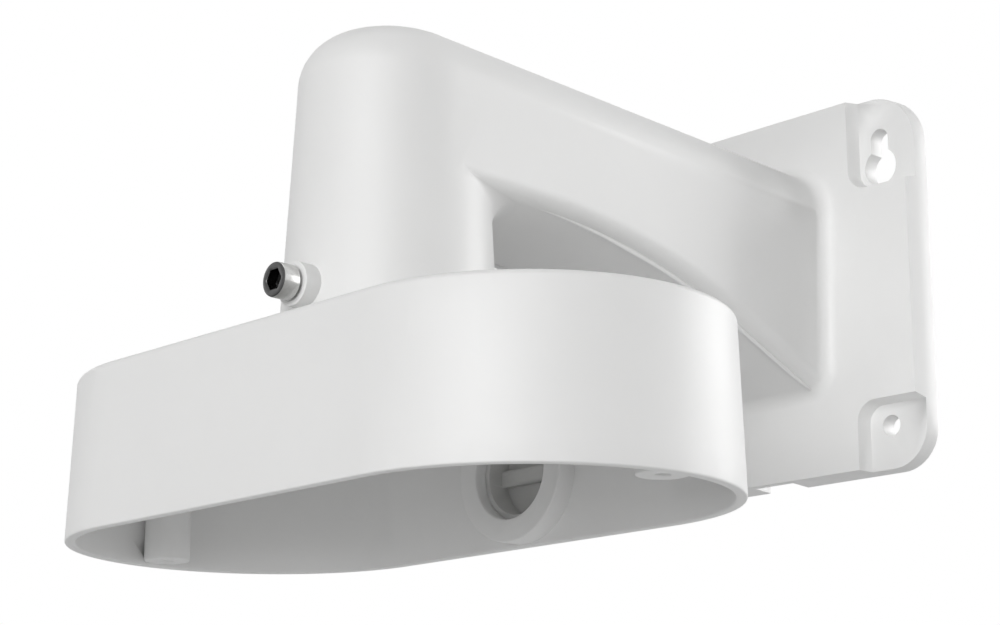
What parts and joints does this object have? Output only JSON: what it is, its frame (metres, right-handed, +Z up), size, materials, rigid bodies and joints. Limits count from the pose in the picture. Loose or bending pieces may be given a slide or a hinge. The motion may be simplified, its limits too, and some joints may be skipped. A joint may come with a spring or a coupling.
{
  "type": "camera wall bracket",
  "caption": "Cast wall arm with a screwed-on oval cap that carries a security camera hanging below it.",
  "frame": {"origin": "middle of the wall plate's back, on the wall plane", "axes": "+X straight out of the wall, +Z up with the camera hanging below, +Y to the side"},
  "size_m": [0.2073, 0.2, 0.1384],
  "materials": {
    "bracket_paint": "white powder coat, semi-gloss, on die-cast aluminium",
    "cap_paint": "white powder coat, semi-gloss, on die-cast aluminium",
    "screw_steel": "darkened steel, turned",
    "plug_plastic": "light grey moulded plastic, matt",
    "washer_rubber": "black rubber, matt"
  },
  "bodies": {
    "root": {"bracket_casting": "bracket_paint", "cap_casting": "cap_paint", "lock_screw": "screw_steel", "conduit_plug": "plug_plastic", "plug_washer": "washer_rubber"}
  },
  "joints": []
}
